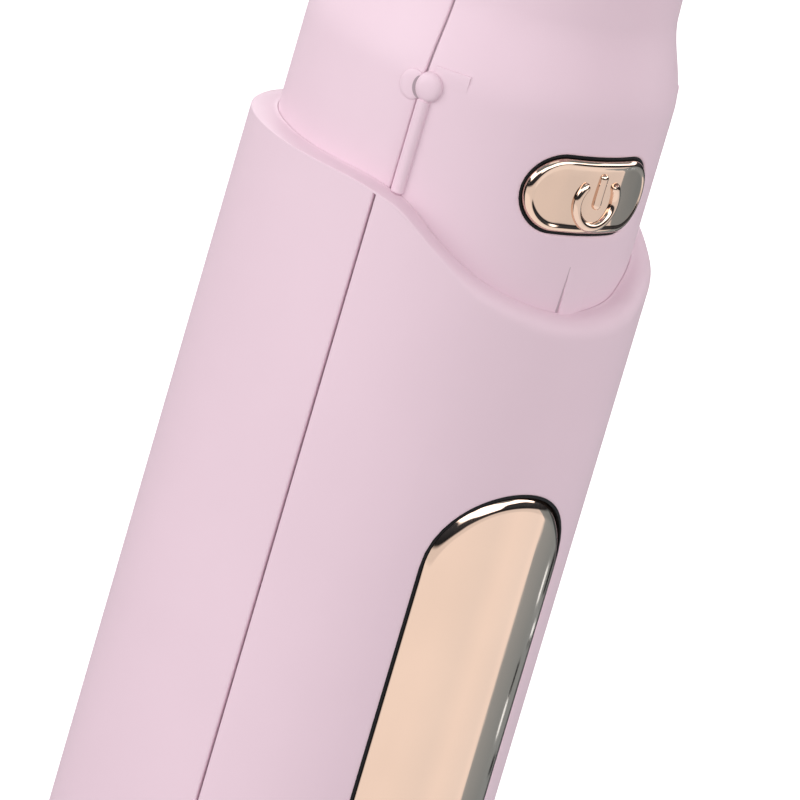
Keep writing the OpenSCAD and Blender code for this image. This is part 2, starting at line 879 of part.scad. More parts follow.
// Centre line of the wire: a leg up from the fixed jaw's flange, the coil, and a leg that lifts the clamp's link
function coil_point(a) =
    [-spring_half + a / 360 * spring_pitch, spring_mean_r * cos(a), spring_mean_r * sin(a)];
coil_line = [for (i = [0:spring_turns * rings_per_turn + 1]) coil_point(i * 360 / rings_per_turn)];
lift_way = [0, -sin(45), cos(45)];
spring_line = concat([coil_line[0] - [0, 0, leg_len], coil_line[0] - [0, 0, 0.8]],
                     [for (i = [1:len(coil_line) - 1]) coil_line[i]],
                     [coil_line[len(coil_line) - 1] + lift_len * lift_way]);

module spring_leg_hole() {
    translate([coil_line[0][0], coil_line[0][1], -leg_len - 0.2]) cylinder(r = wire_r + 0.15, h = 3);
}

function unit(v) = v / norm(v);
function tangent(line, i) =
    i == 0 ? unit(line[1] - line[0])
    : i == len(line) - 1 ? unit(line[i] - line[i - 1])
    : unit(line[i + 1] - line[i - 1]);
function wire_ring(line, i) =
    let (t = tangent(line, i), u = unit([1, 0, 0] - t[0] * t), v = cross(t, u))
        [for (k = [0:wire_sides - 1])
            let (a = k * 360 / wire_sides) line[i] + wire_r * (cos(a) * u + sin(a) * v)];

module wire(line) {
    n = len(line);
    points = [for (i = [0:n - 1]) for (p = wire_ring(line, i)) p];
    sides = [
        for (i = [0:n - 2])
            for (k = [0:wire_sides - 1])
                let (m = (k + 1) % wire_sides, a = i * wire_sides, b = (i + 1) * wire_sides)
                    for (f = [[a + k, b + m, a + m], [a + k, b + k, b + m]]) f
    ];
    start = [for (k = [1:wire_sides - 2]) [0, k, k + 1]];
    last = (n - 1) * wire_sides;
    finish = [for (k = [1:wire_sides - 2]) [last, last + k + 1, last + k]];
    polyhedron(points = points, faces = concat(sides, start, finish), convexity = 8);
}

// Least gap between one turn and the turns beyond it
line_last = len(spring_line) - 1;
turn_gap = min([for (i = [0:line_last])
    for (j = [i + rings_per_turn / 2 + 1:1:line_last]) norm(spring_line[i] - spring_line[j])]) - 2 * wire_r;
echo(spring_gap_mm = turn_gap);

module clamp_spring() {
    color(steel) translate([0, -hinge_y, hinge_z]) wire(spring_line);
}

// ---------------------------------------------------------------- leads and arm screws

// The leads stand on the holder's top plate and end on the back of the heater
lead_r = 0.8;
lead_y = plate_back_y + heater_t + lead_r;
lead_top_z = plate_z0 + heater_inset_z + 4;
module heater_leads() {
    color(lead_red) for (side = [-1, 1]) translate([side * 1.1, lead_y, collar_bottom_z])
        cylinder(r = lead_r, h = lead_top_z - collar_bottom_z, $fn = 24);
}

// Screws from each side of the neck into the plug, with flush heads
arm_screw_z = neck_top_z - 6;
arm_screw_y = -2;
module arm_screws() {
    head_x = sqrt(pow(collar_outer(arm_screw_z), 2) - arm_screw_y * arm_screw_y) - 0.25;
    color(steel) for (side = [-1, 1]) translate([0, arm_screw_y, arm_screw_z]) rotate([0, side * 90, 0]) union() {
        translate([0, 0, head_x - 5]) cylinder(r = screw_r, h = 5 - eps);
        translate([0, 0, head_x - 1]) cylinder(r = screw_head_r, h = 1);
    }
}

// ---------------------------------------------------------------- nodes

handle_front_shell();
handle_back_shell();
handle_rim();
inlay_panel();
end_cap();
cap_screws();
usb_port();
charge_board();
battery_cell();
battery_holder();
battery_tabs();
collar_front_shell();
collar_back_shell();
cross_pin();
switch_frame();
control_board();
tact_switch();
power_button();
fixed_jaw();
fixed_carrier();
fixed_heater();
fixed_plate();
clamp_jaw();
clamp_carrier();
clamp_heater();
clamp_plate();
thumb_lever();
hinge_pin();
clamp_spring();
heater_leads();
arm_screws();
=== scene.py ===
"""Looks of the cordless hair crimper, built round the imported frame. Lengths in the helpers are millimetres."""
import json
import math

import bmesh
import bpy
from mathutils import Matrix, Vector


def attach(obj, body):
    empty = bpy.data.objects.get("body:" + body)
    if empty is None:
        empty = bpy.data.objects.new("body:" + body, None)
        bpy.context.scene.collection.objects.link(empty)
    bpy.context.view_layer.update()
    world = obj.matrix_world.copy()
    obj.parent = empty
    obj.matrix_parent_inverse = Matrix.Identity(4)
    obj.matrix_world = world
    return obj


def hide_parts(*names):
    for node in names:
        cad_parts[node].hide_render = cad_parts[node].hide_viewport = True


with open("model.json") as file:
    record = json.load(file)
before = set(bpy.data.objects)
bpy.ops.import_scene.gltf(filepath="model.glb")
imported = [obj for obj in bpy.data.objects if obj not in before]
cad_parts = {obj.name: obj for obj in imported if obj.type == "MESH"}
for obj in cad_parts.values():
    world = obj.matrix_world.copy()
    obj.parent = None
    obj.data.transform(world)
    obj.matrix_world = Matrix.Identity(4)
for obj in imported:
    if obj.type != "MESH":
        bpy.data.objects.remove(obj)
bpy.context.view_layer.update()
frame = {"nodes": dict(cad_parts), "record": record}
nodes = frame["nodes"]
MM = 0.001

# ---------------------------------------------------------------- sizes shared with the CAD model
HANDLE_R = 21.0
HANDLE_RI = 19.45
HANDLE_H = 113.8
CAP_H = 6.0
SCOOP_DEPTH, LIP_SKIRT, LIP_CLEARANCE = 8.9, 0.12, 0.02
# angle, share of the dip, fall from the lip's crest to its outer edge
RIM_CURVE = (
    (-180, 0.1, 0.9), (-150, 0.045, 0.75), (-120, 0, 0.5), (-95, 0, 0.32), (-75, 0.006, 0.30), (-65, 0.056, 0.34),
    (-57, 0.151, 0.5), (-45, 0.45, 0.85), (-33, 0.703, 1.6), (-20, 0.871, 2.0), (-7, 0.977, 2.1), (4, 1, 2.0),
    (15, 0.955, 2.1), (25, 0.882, 2.2), (33, 0.738, 2.3), (44, 0.595, 2.4), (60, 0.485, 2.1), (75, 0.32, 1.7),
    (100, 0.16, 1.3), (130, 0.11, 1.0), (155, 0.1, 0.9), (180, 0.1, 0.9))
SLEEVE_PART_Y, COLLAR_PART_Y, SEAM_HALF = 8.7, 8.15, 0.09
INLAY_W, INLAY_TOP, INLAY_LOW, INLAY_ARCH, INLAY_POWER = 18.3, 87.0, 18.0, 8.4, 2.05
INLAY_DEPTH, INLAY_PROUD = 0.8, 0.2
COLLAR_R, COLLAR_WALL, COLLAR_Z0 = 18.4, 1.8, 81.8
SHOULDER_Z, SHOULDER_H, NECK_R, NECK_TOP_R, NECK_TOP_Z = 124.0, 9.6, 16.2, 13.6, 184.0
BUTTON_W, BUTTON_H, BUTTON_Z, BUTTON_R = 16.2, 7.9, 116.8, 18.85
BOSS_Z, BOSS_R, BOSS_DEG, SEAT_DEG, BAR_DEG, BAR_R = 123.9, 1.4, 61.4, 66.6, 61.8, 0.65
RIB_W, RIB_X, RIB_TOP, RIB_PROUD = 3.2, 1.2, 109.6, 0.3
BOSS_OVAL = (0.94, 1.08)   # width and height of the boss against its radius
PORT_Z, PORT_W, PORT_H = 15.7, 9.5, 3.7
SCREW_Y, SCREW_Z, SCREW_R = -2.0, 178.0, 1.92
# soft edge of a plain hole: share of the way, inset, relief
HOLE_EDGE = ((0.5, -0.3, 0.0), (None, -0.3, 0.0), (None, -0.16, -0.02), (None, -0.06, -0.07), (None, 0.0, -0.16))


def rad(d):
    return math.radians(d)


def collar_outer(z):
    if z < SHOULDER_Z:
        return COLLAR_R
    if z < SHOULDER_Z + SHOULDER_H:
        return NECK_R + (COLLAR_R - NECK_R) * (1 + math.cos(math.pi * (z - SHOULDER_Z) / SHOULDER_H)) / 2
    z1 = SHOULDER_Z + SHOULDER_H
    return NECK_R + (NECK_TOP_R - NECK_R) * (z - z1) / (NECK_TOP_Z - z1)


def rim_slope(i, k):
    if i in (0, len(RIM_CURVE) - 1):
        return 0
    (a0, *v0), (a1, *v1) = RIM_CURVE[i - 1], RIM_CURVE[i + 1]
    return (v1[k] - v0[k]) / (a1 - a0)


def rim_value(a, k):
    """Smooth curve through one column of the rim's table."""
    a = (a + 180) % 360 - 180
    i = max(j for j in range(len(RIM_CURVE) - 1) if RIM_CURVE[j][0] <= a)
    (a0, *v0), (a1, *v1) = RIM_CURVE[i], RIM_CURVE[i + 1]
    w, t = a1 - a0, (a - a0) / (a1 - a0)
    return (v0[k] * (1 + 2 * t) * (1 - t) ** 2 + v1[k] * t * t * (3 - 2 * t)
            + w * t * (1 - t) * (rim_slope(i, k) * (1 - t) - rim_slope(i + 1, k) * t))


def crest_z(a):
    return HANDLE_H - SCOOP_DEPTH * rim_value(a, 0)


def outer_edge_z(a):
    return crest_z(a) - rim_value(a, 1)


def seam_deg(part_y, r):
    return math.degrees(math.acos(part_y / r))


# ---------------------------------------------------------------- mesh helpers
def polar(theta_deg, r, z):
    t = rad(theta_deg)
    return (r * math.sin(t), -r * math.cos(t), z)


def make(name, verts, faces, material, body="handle_body", replaces=(), sharp=38):
    me = bpy.data.meshes.new(name)
    me.from_pydata([(x * MM, y * MM, z * MM) for x, y, z in verts], [], faces)
    me.validate()
    me.update()
    ob = bpy.data.objects.new(name, me)
    bpy.context.scene.collection.objects.link(ob)
    me.materials.append(material)
    finish_mesh(me, sharp)
    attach(ob, body)
    if replaces:
        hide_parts(*replaces)
    return ob


def finish_mesh(me, sharp):
    bm = bmesh.new()
    bm.from_mesh(me)
    bmesh.ops.remove_doubles(bm, verts=bm.verts, dist=1e-7)
    bmesh.ops.dissolve_degenerate(bm, edges=bm.edges, dist=1e-8)
    bmesh.ops.recalc_face_normals(bm, faces=bm.faces)
    bm.to_mesh(me)
    bm.free()
    me.shade_smooth()
    me.set_sharp_from_angle(angle=rad(sharp))


def lines(stops):
    """Rising values from (start, end, step) runs that share their ends."""
    out = []
    for start, end, step in stops:
        n = max(1, round((end - start) / step))
        out += [start + (end - start) * i / n for i in range(n)]
    return out + [stops[-1][1]]


class Skin:
    """A curved wall drawn on an outer surface by angle, height and relief, then closed by its inner copy."""

    def __init__(self, outer_r, inner_r):
        self.outer_r, self.inner_r = outer_r, inner_r
        self.pts, self.faces = [], []

    def add(self, theta, z, relief=0.0):
        self.pts.append((theta, z, relief))
        return len(self.pts) - 1

    def grid(self, thetas, rows, relief, hole=None):
        """rows(theta) gives the heights of a column. hole(theta_mid, z_mid) skips a cell."""
        table = [[self.add(t, z, relief(t, z)) for z in rows(t)] for t in thetas]
        for i in range(len(thetas) - 1):
            for j in range(len(table[0]) - 1):
                corners = (table[i][j], table[i + 1][j], table[i + 1][j + 1], table[i][j + 1])
                t = (thetas[i] + thetas[i + 1]) / 2
                z = sum(self.pts[c][1] for c in corners) / 4
                if not (hole and hole(t, z)):
                    self.faces.append(corners)
        return table

    def ring_into(self, loop, outline, steps, middle=0.0):
        """Loops from a hole's edge to an outline, on the side at the angle middle.

        steps are (share of the way | None, inset, relief).
        """
        last = loop
        for share, inset, relief in steps:
            new = []
            for k in loop:
                t, z, _ = self.pts[k]
                r = self.outer_r(z)
                x = r * math.sin(rad(t - middle))
                ox, oz = outline(x, z, inset)
                if share is not None:
                    ox, oz = x + (ox - x) * share, z + (oz - z) * share
                new.append(self.add(middle + math.degrees(math.asin(max(-1, min(1, ox / r)))), oz, relief))
            n = len(loop)
            for k in range(n):
                self.faces.append((last[k], last[(k + 1) % n], new[(k + 1) % n], new[k]))
            last = new
        return last

    def close(self):
        n = len(self.pts)
        verts = [polar(t, self.outer_r(z) + h, z) for t, z, h in self.pts]
        verts += [polar(t, self.inner_r(z), z) for t, z, h in self.pts]
        faces = list(self.faces) + [tuple(n + k for k in reversed(f)) for f in self.faces]
        count = {}
        for f in self.faces:
            for k in range(len(f)):
                e = (f[k], f[(k + 1) % len(f)])
                key = (min(e), max(e))
                count[key] = None if key in count else e
        for e in count.values():
            if e:
                faces.append((e[1], e[0], n + e[0], n + e[1]))
        return verts, faces


def hole_loop(table, thetas, i0, i1, j0, j1):
    """Vertices round a rectangular hole of a grid, in order."""
    loop = [table[i][j0] for i in range(i0, i1)]
    loop += [table[i1][j] for j in range(j0, j1)]
    loop += [table[i][j1] for i in range(i1, i0, -1)]
    loop += [table[i0][j] for j in range(j1, j0, -1)]
    return loop


def nearest(values, v):
    return min(range(len(values)), key=lambda i: abs(values[i] - v))


def inlay_point(x, z, inset):
    """Point of the inlay's outline, drawn in by inset, on the way from its middle line to (x, z)."""
    half, arch = INLAY_W / 2 - inset, INLAY_ARCH - inset
    mid = max(INLAY_LOW + INLAY_ARCH, min(INLAY_TOP - INLAY_ARCH, z))
    dx, dz = x, z - mid
    k = (abs(dx / half) ** INLAY_POWER + abs(dz / arch) ** INLAY_POWER) ** (1 / INLAY_POWER)
    return dx / k, mid + dz / k


def button_point(x, z, inset):
    r = BUTTON_H / 2
    mid = max(-BUTTON_W / 2 + r, min(BUTTON_W / 2 - r, x))
    dx, dz = x - mid, z - BUTTON_Z
    k = math.hypot(dx, dz) / (r - inset)
    return mid + dx / k, BUTTON_Z + dz / k


def hole_outline(cx, cz, r, half=0.0):
    """Outline of a hole round (cx, cz): a circle, or a pill that reaches half further to both sides."""
    def point(x, z, inset):
        mid = cx + max(-half, min(half, x - cx))
        dx, dz = x - mid, z - cz
        k = math.hypot(dx, dz) / (r - inset)
        return mid + dx / k, cz + dz / k

    return point


def in_holes(holes):
    return lambda t, z: any(a < t < b and low < z < high for _, a, b, low, high, *_ in holes)


def cut_hole(skin, table, thetas, rows, hole):
    """Lead the edge of a skipped rectangle of the grid into the hole's outline."""
    middle, a, b, low, high, outline, steps = hole
    loop = hole_loop(table, thetas, nearest(thetas, a), nearest(thetas, b), nearest(rows, low), nearest(rows, high))
    return skin.ring_into(loop, outline, steps, middle)


def on_cylinder(x, z, r):
    return (x, -math.sqrt(r * r - x * x), z)


def pad(name, guide, point, steps, radius, material, body, middle, replaces=(), dish=0.0, widen=None):
    """A closed pad on a cylinder: loops of an outline from its back over its bevel to its middle."""
    verts, faces, n = [], [], len(guide)

    def drawn_in(x, z, inset):
        k = widen(x, z) if widen else 1.0
        return point(x, z, steps[0][0] + (inset - steps[0][0]) * k)

    loops = [(share, *steps[0]) for share in (0.0, 0.5)] + [(1.0, inset, r) for inset, r in steps]
    loops += [(share, steps[-1][0], radius - dish * (1 - share ** 2)) for share in middle]
    for share, inset, r in loops:
        for x, z in guide:
            px, pz = drawn_in(x, z, inset)
            mx, mz = middle_of(point, px, pz)
            verts.append(on_cylinder(mx + (px - mx) * share, mz + (pz - mz) * share, r))
    for ring in range(len(loops) - 1):
        for k in range(n):
            a, b = ring * n + k, ring * n + (k + 1) % n
            faces.append((a, b, b + n, a + n))
    return make(name, verts, faces, material, body, replaces)


def middle_of(point, x, z):
    if point is inlay_point:
        return 0.0, max(INLAY_LOW + INLAY_ARCH, min(INLAY_TOP - INLAY_ARCH, z))
    r = BUTTON_H / 2
    return max(-BUTTON_W / 2 + r, min(BUTTON_W / 2 - r, x)), BUTTON_Z


def tube(name, path, radius, material, body, sides=24, squash=1.0):
    """Round section swept along a path, with domed ends."""
    verts, faces = [], []
    n = len(path)
    for i, p in enumerate(path):
        a = Vector(path[max(0, i - 1)])
        b = Vector(path[min(n - 1, i + 1)])
        t = (b - a).normalized()
        out = Vector((p[0], p[1], 0)).normalized()
        side = t.cross(out).normalized()
        out = side.cross(t)
        length = min((Vector(p) - Vector(path[0])).length, (Vector(p) - Vector(path[-1])).length)
        end = math.sqrt(max(0.0, 1 - (1 - min(1.0, length / radius)) ** 2)) if length < radius else 1.0
        for k in range(sides):
            c = 2 * math.pi * k / sides
            q = Vector(p) + side * (radius * end * math.cos(c)) + out * (radius * squash * end * math.sin(c))
            verts.append(tuple(q))
    for i in range(n - 1):
        for k in range(sides):
            a, b = i * sides + k, i * sides + (k + 1) % sides
            faces.append((a, b, b + sides, a + sides))
    faces.append(tuple(range(sides)))
    faces.append(tuple((n - 1) * sides + k for k in range(sides - 1, -1, -1)))
    return make(name, verts, faces, material, body)


# ---------------------------------------------------------------- materials
class Mat:
    def __init__(self, name):
        self.m = bpy.data.materials.new(name)
        self.m.use_nodes = True
        self.t = self.m.node_tree
        self.b = self.t.nodes["Principled BSDF"]
        self.coord = self.t.nodes.new("ShaderNodeTexCoord").outputs["Object"]

    def set(self, **values):
        for key, v in values.items():
            self.b.inputs[key.replace("_", " ")].default_value = v
        return self

    def noise(self, scale, detail=3.0, rough=0.5, stretch=None):
        n = self.t.nodes.new("ShaderNodeTexNoise")
        n.inputs["Scale"].default_value = scale
        n.inputs["Detail"].default_value = detail
        n.inputs["Roughness"].default_value = rough
        src = self.coord
        if stretch:
            m = self.t.nodes.new("ShaderNodeMapping")
            m.inputs["Scale"].default_value = stretch
            self.t.links.new(src, m.inputs["Vector"])
            src = m.outputs["Vector"]
        self.t.links.new(src, n.inputs["Vector"])
        return n.outputs["Fac"]

    def ramp(self, fac, stops):
        r = self.t.nodes.new("ShaderNodeValToRGB")
        els = r.color_ramp.elements
        els[0].position, els[0].color = stops[0][0], (*stops[0][1], 1)
        els[1].position, els[1].color = stops[-1][0], (*stops[-1][1], 1)
        for pos, col in stops[1:-1]:
            e = els.new(pos)
            e.color = (*col, 1)
        self.t.links.new(fac, r.inputs["Fac"])
        return r.outputs["Color"]

    def span(self, fac, lo, hi):
        m = self.t.nodes.new("ShaderNodeMapRange")
        m.inputs["To Min"].default_value = lo
        m.inputs["To Max"].default_value = hi
        self.t.links.new(fac, m.inputs["Value"])
        return m.outputs["Result"]

    def color(self, out):
        self.t.links.new(out, self.b.inputs["Base Color"])
        return self

    def rough(self, out):
        self.t.links.new(out, self.b.inputs["Roughness"])
        return self

    def bump(self, height, strength, distance, below=None):
        n = self.t.nodes.new("ShaderNodeBump")
        n.inputs["Strength"].default_value = strength
        n.inputs["Distance"].default_value = distance
        self.t.links.new(height, n.inputs["Height"])
        if below is not None:
            self.t.links.new(below, n.inputs["Normal"])
        self.t.links.new(n.outputs["Normal"], self.b.inputs["Normal"])
        return n.outputs["Normal"]


def tone(c, k):
    return tuple(min(1.0, v * k) for v in c)


def soft_touch(name, base):
    m = Mat(name).set(Specular_IOR_Level=0.35, Sheen_Weight=0.12, Sheen_Roughness=0.45)
    m.color(m.ramp(m.noise(60.0, 2.0), [(0.3, tone(base, 0.985)), (0.7, tone(base, 1.012))]))
    m.rough(m.span(m.noise(420.0, 3.0), 0.50, 0.60))
    fine = m.bump(m.noise(5200.0, 2.0), 0.10, 0.00005)
    m.bump(m.noise(700.0, 2.0), 0.05, 0.0001, fine)
    return m.m


def rose_gold(name, wave_scale, wave_height):
    base = (0.70, 0.51, 0.405)
    m = Mat(name).set(Metallic=1.0)
    m.color(m.ramp(m.noise(90.0, 2.0), [(0.3, tone(base, 0.97)), (0.7, tone(base, 1.02))]))
    m.rough(m.span(m.noise(300.0, 4.0, 0.6), 0.04, 0.08))
    wave = m.bump(m.noise(wave_scale, 1.0, 0.5, (1, 1, 0.45)), wave_height, 0.0003)
    m.bump(m.noise(3000.0, 2.0, 0.5, (1, 1, 0.12)), 0.03, 0.00004, wave)
    return m.m


def dark_plastic(name, k=1.0):
    m = Mat(name).set(Specular_IOR_Level=0.4 * k)
    m.color(m.ramp(m.noise(300.0), [(0.3, tone((0.028, 0.028, 0.032), k)), (0.7, tone((0.042, 0.042, 0.047), k))]))
    m.rough(m.span(m.noise(900.0), 0.45, 0.62))
    m.bump(m.noise(4000.0, 2.0), 0.15, 0.00006)
    return m.m


def steel(name):
    m = Mat(name).set(Metallic=1.0)
    m.color(m.ramp(m.noise(200.0), [(0.3, (0.56, 0.56, 0.58)), (0.7, (0.66, 0.66, 0.68))]))
    m.rough(m.span(m.noise(1500.0, 3.0, 0.5, (0.1, 1, 1)), 0.20, 0.34))
    m.bump(m.noise(4000.0, 2.0, 0.5, (0.08, 1, 1)), 0.08, 0.00003)
    return m.m


def board(name):
    m = Mat(name).set(Coat_Weight=0.4)
    m.color(m.ramp(m.noise(900.0, 1.0), [(0.45, (0.012, 0.10, 0.045)), (0.55, (0.02, 0.17, 0.08))]))
    m.rough(m.span(m.noise(600.0), 0.3, 0.45))
    m.bump(m.noise(2500.0), 0.1, 0.00005)
    return m.m


def wrap(name):
    m = Mat(name).set(Coat_Weight=0.5)
    m.color(m.ramp(m.noise(120.0), [(0.3, (0.10, 0.27, 0.42)), (0.7, (0.14, 0.33, 0.49))]))
    m.rough(m.span(m.noise(400.0), 0.22, 0.38))
    m.bump(m.noise(500.0, 3.0, 0.5, (1, 1, 0.3)), 0.15, 0.0001)
    return m.m


def ceramic(name):
    m = Mat(name)
    m.color(m.ramp(m.noise(700.0), [(0.3, (0.74, 0.74, 0.71)), (0.7, (0.84, 0.84, 0.81))]))
    m.rough(m.span(m.noise(1200.0), 0.6, 0.8))
    m.bump(m.noise(3000.0), 0.2, 0.00006)
    return m.m


def plate_coat(name):
    m = Mat(name).set(Metallic=0.75)
    m.color(m.ramp(m.noise(260.0), [(0.3, (0.55, 0.335, 0.26)), (0.7, (0.64, 0.40, 0.315))]))
    m.rough(m.span(m.noise(1500.0), 0.24, 0.36))
    m.bump(m.noise(5000.0, 2.0), 0.1, 0.00004)
    return m.m


def sleeve_rubber(name):
    m = Mat(name)
    m.color(m.ramp(m.noise(500.0), [(0.3, (0.34, 0.022, 0.016)), (0.7, (0.44, 0.035, 0.024))]))
    m.rough(m.span(m.noise(900.0), 0.45, 0.6))
    m.bump(m.noise(2000.0), 0.15, 0.00006)
    return m.m


PINK = (0.765, 0.573, 0.657)
MATS = {
    "soft_touch_pink": soft_touch("soft_touch_pink", PINK),
    "rose_gold": rose_gold("rose_gold", 170.0, 0.10),
    "dark_plastic": dark_plastic("dark_plastic"),
    "steel": steel("steel"),
    "circuit_board": board("circuit_board"),
    "cell_wrap": wrap("cell_wrap"),
    "ceramic": ceramic("ceramic"),
    "crimp_plate": plate_coat("crimp_plate"),
    "lead_sleeve": sleeve_rubber("lead_sleeve"),
}
pink, gold = MATS["soft_touch_pink"], MATS["rose_gold"]
key_gold = rose_gold("rose_gold_key", 300.0, 0.55)
# Darker copy of the pink for the seam strips and the boss crescent: painted shade in the gaps.
painted_seam_shade = soft_touch("seam_painted_shade", tone(PINK, 0.52))
# Darker copy of the pink for the strip beside the front rib: painted shade.
painted_rib_shade = soft_touch("painted_rib_shade", tone(PINK, 0.66))
# Near-black copy of the dark plastic for the strips deep in the gaps round the inlay and the key: painted shade.
painted_gap_shade = dark_plastic("painted_gap_shade", 0.25)

for part in frame["record"]["subparts"]:
    ob = nodes[part["node"]]
    ob.data.materials.clear()
    ob.data.materials.append(MATS[part["material_slot"]])

# ---------------------------------------------------------------- sleeve
EDGE = ((0.0, 0.30), (0.04, 0.12), (0.10, 0.045), (0.20, 0.01), (0.34, 0.0))   # (way in, drop) of a rounded edge


def edge_drop(way):
    for (w0, d0), (w1, d1) in zip(EDGE, EDGE[1:]):
        if way <= w1:
            return -(d0 + (d1 - d0) * max(0.0, way - w0) / (w1 - w0))
    return 0.0


def shell_columns(start, end, step, r, also=()):
    """Angles from one seam to the other, closer together at the rounded edges."""
    per = math.degrees(1 / r)
    inner = lines([(start + EDGE[-1][0] * per, end - EDGE[-1][0] * per, step)])
    ends = [w * per for w, _ in EDGE[:-1]]
    cols = [start + w for w in ends] + inner + [end - w for w in reversed(ends)]
    return sorted(set(round(c, 5) for c in list(cols) + list(also)))


def sleeve_shell(name, start, end, node, window):
    per = math.degrees(1 / HANDLE_R)
    skin = Skin(lambda z: HANDLE_R, lambda z: HANDLE_RI)
    high = 90.5   # above it the rows follow the rim
    if window:
        t_edge = math.degrees(math.asin(11.6 / HANDLE_R))
        steps = [(0.35, -0.45, 0.0), (0.7, -0.45, 0.0), (None, -0.45, 0.0), (None, -0.26, -0.008),
                 (None, -0.14, -0.03), (None, -0.06, -0.07), (None, -0.01, -0.12), (None, 0.0, -0.20),
                 (None, 0.01, -INLAY_DEPTH), (None, 0.6, -INLAY_DEPTH), (None, 4.0, -INLAY_DEPTH)]
        holes = [(0, -t_edge, t_edge, 14.5, high, inlay_point, steps)]
        low_rows = lines([(CAP_H, 14.5, 2.2), (14.5, high, 2.0)])
    else:
        t_edge = math.degrees(math.asin(7.0 / HANDLE_R))
        holes = [(180, 180 - t_edge, 180 + t_edge, PORT_Z - 3.5, PORT_Z + 3.5,
                  hole_outline(0, PORT_Z, PORT_H / 2, (PORT_W - PORT_H) / 2), HOLE_EDGE)]
        low_rows = lines([(CAP_H, PORT_Z - 3.5, 2.2), (PORT_Z - 3.5, PORT_Z + 3.5, 0.7), (PORT_Z + 3.5, high, 2.0)])
    thetas = shell_columns(start, end, 2.5, HANDLE_R, holes[0][1:3])

    def rows(t):
        top = outer_edge_z(t) - LIP_SKIRT
        return low_rows + [high + (top - high) * k / 8 for k in range(1, 9)]

    def relief(t, z):
        return edge_drop(min(t - start, end - t) / per)

    table = skin.grid(thetas, rows, relief, in_holes(holes))
    last = cut_hole(skin, table, thetas, low_rows, holes[0])
    if window:
        skin.faces.append(tuple(last))
    verts, faces = skin.close()
    return make(name, verts, faces, pink, replaces=(node,))


half_gap = math.degrees(SEAM_HALF / HANDLE_R / math.sin(rad(seam_deg(SLEEVE_PART_Y, HANDLE_R))))
seam = seam_deg(SLEEVE_PART_Y, HANDLE_R)
sleeve_shell("sleeve_front", -seam + half_gap, seam - half_gap, "handle_front_shell", True)
sleeve_shell("sleeve_back", seam + half_gap, 360 - seam - half_gap, "handle_back_shell", False)


def curved_strip(name, theta0, theta1, r0, r1, z0, z1, material, n=8):
    verts, faces = [], []
    for i in range(n + 1):
        t = theta0 + (theta1 - theta0) * i / n
        verts += [polar(t, r0, z0), polar(t, r1, z0), polar(t, r1, z1), polar(t, r0, z1)]
    for i in range(n):
        a, b = 4 * i, 4 * (i + 1)
        for k in range(4):
            faces.append((a + k, a + (k + 1) % 4, b + (k + 1) % 4, b + k))
    faces += [(3, 2, 1, 0), (4 * n, 4 * n + 1, 4 * n + 2, 4 * n + 3)]
    return make(name, verts, faces, material)


# Strips that close the sleeve's seams below the surface, in the darker pink: painted shade in the seam.
for side, tag in ((-1, "left"), (1, "right")):
    s = side * seam
    top = outer_edge_z(s) - LIP_SKIRT
    curved_strip("sleeve_lap_" + tag, s - 0.32, s + 0.32, HANDLE_RI - 0.6, HANDLE_R - 0.55, 13.5, top, painted_seam_shade)


LIP_IN = COLLAR_R + LIP_CLEARANCE
LIP_WALL, LIP_STEP = 0.36, 0.09
# rounded crest: way out from the lip's inner wall, and drop
LIP_CREST = ((0.0, 0.03), (0.04, 0.005), (0.10, 0.0), (0.16, 0.01), (0.22, 0.04), (0.28, 0.07))


def lip():
    """The closed lip: a sloping band from its thin crest at the collar to its rounded outer edge."""
    crest_r, n = LIP_IN + LIP_WALL, 720
    verts, faces = [], []
    for i in range(n):
        a = i * 360 / n
        crest, edge = crest_z(a), outer_edge_z(a)
        foot = edge - LIP_SKIRT
        fall = crest - edge
        section = [(HANDLE_RI + 0.1, foot - 0.40), (LIP_IN, foot - 0.10)]
        section += [(LIP_IN + way, crest - drop) for way, drop in LIP_CREST]
        for k in range(1, 19):
            t = rad(90 * k / 18)
            way, drop = math.sin(t) ** 0.9, 1 - math.cos(t) ** 0.9
            section.append((crest_r + (HANDLE_R - crest_r) * way, crest - LIP_STEP - (fall - LIP_STEP) * drop))
        section += [(HANDLE_R, edge - 0.06), (HANDLE_R, foot), (HANDLE_R - 0.1, foot), (HANDLE_R - 0.62, foot - 0.02),
                    (HANDLE_R - 0.66, foot - 0.40)]
        verts += [polar(a, r, z) for r, z in section]
    m = len(section)
    for i in range(n):
        a, b = i * m, ((i + 1) % n) * m
        for k in range(m):
            faces.append((a + k, a + (k + 1) % m, b + (k + 1) % m, b + k))
    return make("sleeve_lip", verts, faces, pink, replaces=("handle_rim",), sharp=60)


lip()

# ---------------------------------------------------------------- inlay
inlay_guide = []
arch_top, arch_low = INLAY_TOP - INLAY_ARCH, INLAY_LOW + INLAY_ARCH
side_z = lines([(arch_low, arch_top, 1.5)])
inlay_guide += [(INLAY_W / 2, z) for z in side_z]
arch_angles = lines([(2.5, 177.5, 2.5)])
inlay_guide += [(INLAY_W / 2 * math.cos(rad(a)), arch_top + INLAY_ARCH * math.sin(rad(a))) for a in arch_angles]
inlay_guide += [(-INLAY_W / 2, z) for z in reversed(side_z)]
inlay_guide += [(-INLAY_W / 2 * math.cos(rad(a)), arch_low - INLAY_ARCH * math.sin(rad(a))) for a in arch_angles]
R0 = HANDLE_R


def rolled(inset0, r_low, width, rise, n=14):
    """Steps of a rolled edge: a quarter of an ellipse from its steep outer side to the flat."""
    turns = [rad(90 * k / n) for k in range(n + 1)]
    return [(inset0 + width * (1 - math.cos(t)), r_low + rise * math.sin(t)) for t in turns]


